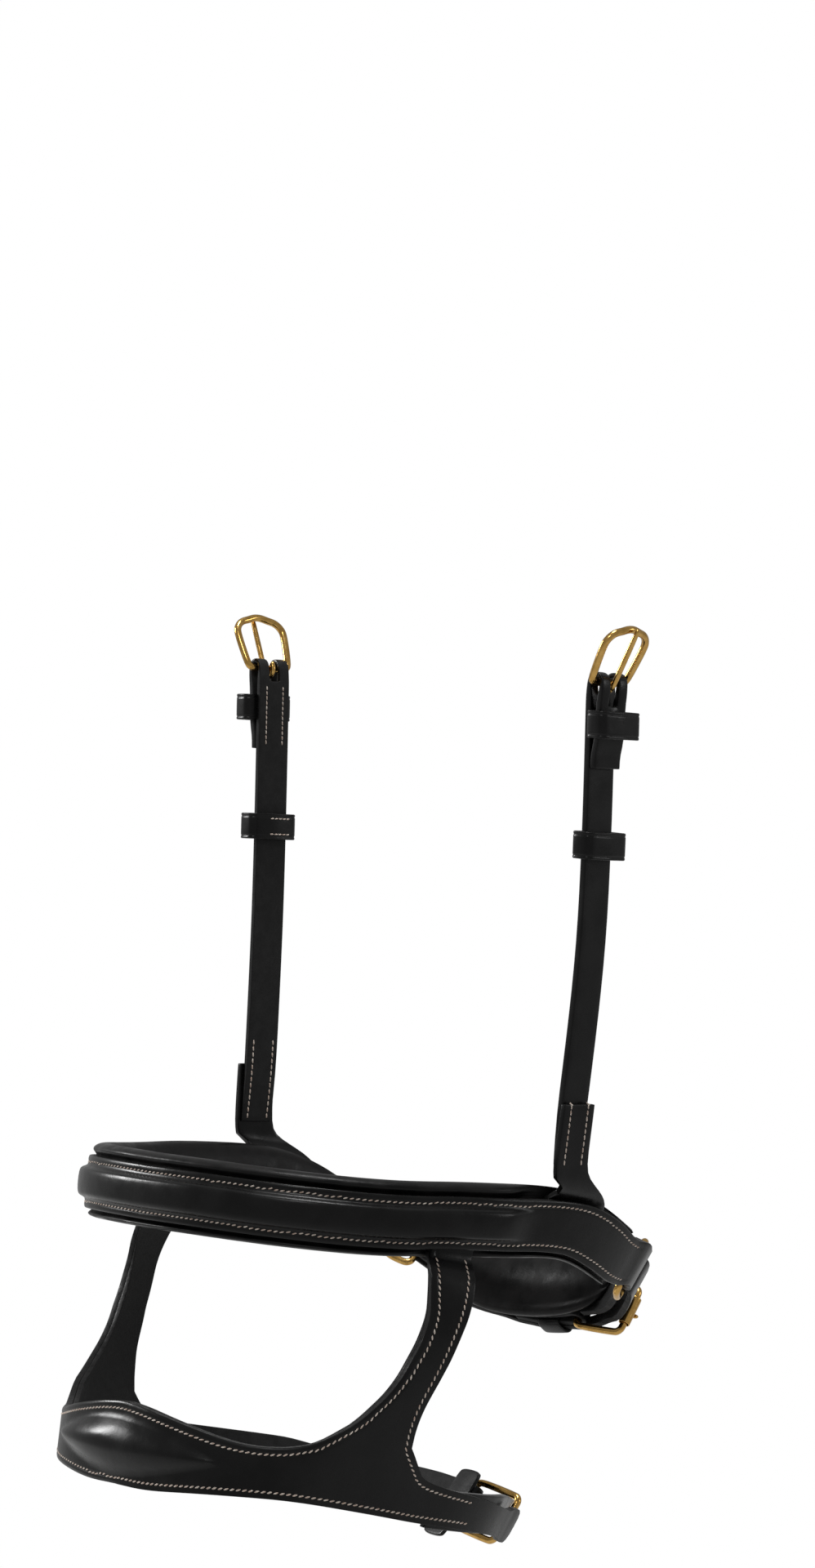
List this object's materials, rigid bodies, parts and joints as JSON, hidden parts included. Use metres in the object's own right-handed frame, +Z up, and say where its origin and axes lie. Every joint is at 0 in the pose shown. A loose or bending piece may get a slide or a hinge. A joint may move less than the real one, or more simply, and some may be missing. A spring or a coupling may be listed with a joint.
{
  "type": "bridle noseband",
  "caption": "Double noseband of a bridle: padded upper band, drop band hung on side straps, ringed chin closures and cheek straps with brass buckles",
  "frame": {"origin": "midway between the bars of the two cheek buckles, where the noseband hangs from the headpiece", "axes": "+Z up along the horse's head, +X towards the horse's left (near) side, -Y towards the front of the nose"},
  "size_m": [0.2168, 0.2238, 0.3333],
  "materials": {
    "leather": "polished black bridle leather",
    "lining": "soft black grained lining leather, padded",
    "felt": "felt padding, hidden",
    "brass": "polished brass"
  },
  "bodies": {
    "noseband": {"chin_billet": "leather", "chin_fixed_keeper": "leather", "chin_pad": "lining", "chin_strap": "leather", "drop_band_face": "leather", "drop_band_leaf_pad": "felt", "drop_band_lining": "lining", "far_cheek_fixed_keeper": "leather", "far_cheek_strap": "leather", "far_cheek_tab": "leather", "far_ring": "brass", "lower_chin_billet": "leather", "lower_chin_fixed_keeper": "leather", "lower_chin_guard": "leather", "lower_chin_strap": "leather", "near_cheek_fixed_keeper": "leather", "near_cheek_strap": "leather", "near_cheek_tab": "leather", "near_ring": "brass", "upper_band_face": "leather", "upper_band_filler": "felt", "upper_band_lining": "lining"},
    "near_cheek_buckle": {"near_cheek_buckle_frame": "brass"},
    "near_cheek_tongue": {"near_cheek_buckle_tongue": "brass"},
    "near_cheek_runner": {"near_cheek_runner": "leather"},
    "far_cheek_buckle": {"far_cheek_buckle_frame": "brass"},
    "far_cheek_tongue": {"far_cheek_buckle_tongue": "brass"},
    "far_cheek_runner": {"far_cheek_runner": "leather"},
    "chin_buckle": {"chin_buckle_frame": "brass"},
    "chin_tongue": {"chin_buckle_tongue": "brass"},
    "chin_roller": {"chin_buckle_roller": "brass"},
    "lower_chin_buckle": {"lower_chin_buckle_frame": "brass"},
    "lower_chin_tongue": {"lower_chin_buckle_tongue": "brass"},
    "lower_chin_runner": {"lower_chin_runner": "leather"}
  },
  "joints": [
    {"name": "near_cheek_buckle_swing", "type": "hinge", "parent": "noseband", "child": "near_cheek_buckle", "pos_m": [0.0945, 0, 0], "axis": [-0.0896, 0.9935, -0.0708], "range_deg": [-40, 25]},
    {"name": "near_cheek_tongue_swing", "type": "hinge", "parent": "near_cheek_buckle", "child": "near_cheek_tongue", "pos_m": [0.0945, 0, 0], "axis": [-0.0896, 0.9935, -0.0708], "range_deg": [0, 60]},
    {"name": "near_cheek_runner_slide", "type": "slide", "parent": "noseband", "child": "near_cheek_runner", "axis": [0.0314, 0.0739, 0.9968], "range_m": [-0.075, 0.018]},
    {"name": "far_cheek_buckle_swing", "type": "hinge", "parent": "noseband", "child": "far_cheek_buckle", "pos_m": [-0.0945, 0, 0], "axis": [-0.0896, -0.9935, 0.0708], "range_deg": [-40, 25]},
    {"name": "far_cheek_tongue_swing", "type": "hinge", "parent": "far_cheek_buckle", "child": "far_cheek_tongue", "pos_m": [-0.0945, 0, 0], "axis": [-0.0896, -0.9935, 0.0708], "range_deg": [0, 60]},
    {"name": "far_cheek_runner_slide", "type": "slide", "parent": "noseband", "child": "far_cheek_runner", "axis": [-0.0314, 0.0739, 0.9968], "range_m": [-0.075, 0.018]},
    {"name": "chin_buckle_swing", "type": "hinge", "parent": "noseband", "child": "chin_buckle", "pos_m": [0.01033, 0.065, -0.23305], "axis": [-0.0915, 0.6322, 0.7694], "range_deg": [0, 10]},
    {"name": "chin_tongue_swing", "type": "hinge", "parent": "chin_buckle", "child": "chin_tongue", "pos_m": [0.01033, 0.065, -0.23305], "axis": [-0.0915, 0.6322, 0.7694], "range_deg": [0, 20]},
    {"name": "chin_roller_spin", "type": "hinge", "parent": "chin_buckle", "child": "chin_roller", "pos_m": [0.03095, 0.0689, -0.23381], "axis": [-0.0915, 0.6322, 0.7694], "continuous": true},
    {"name": "lower_chin_buckle_swing", "type": "hinge", "parent": "noseband", "child": "lower_chin_buckle", "pos_m": [0.00883, 0.00823, -0.30073], "axis": [0.0806, 0.6232, 0.7779], "range_deg": [0, 10]},
    {"name": "lower_chin_tongue_swing", "type": "hinge", "parent": "lower_chin_buckle", "child": "lower_chin_tongue", "pos_m": [0.00883, 0.00823, -0.30073], "axis": [0.0806, 0.6232, 0.7779], "range_deg": [0, 20]},
    {"name": "lower_chin_runner_slide", "type": "slide", "parent": "noseband", "child": "lower_chin_runner", "axis": [-0.9598, -0.2667, 0.0877], "range_m": [-0.001, 0.001]}
  ]
}
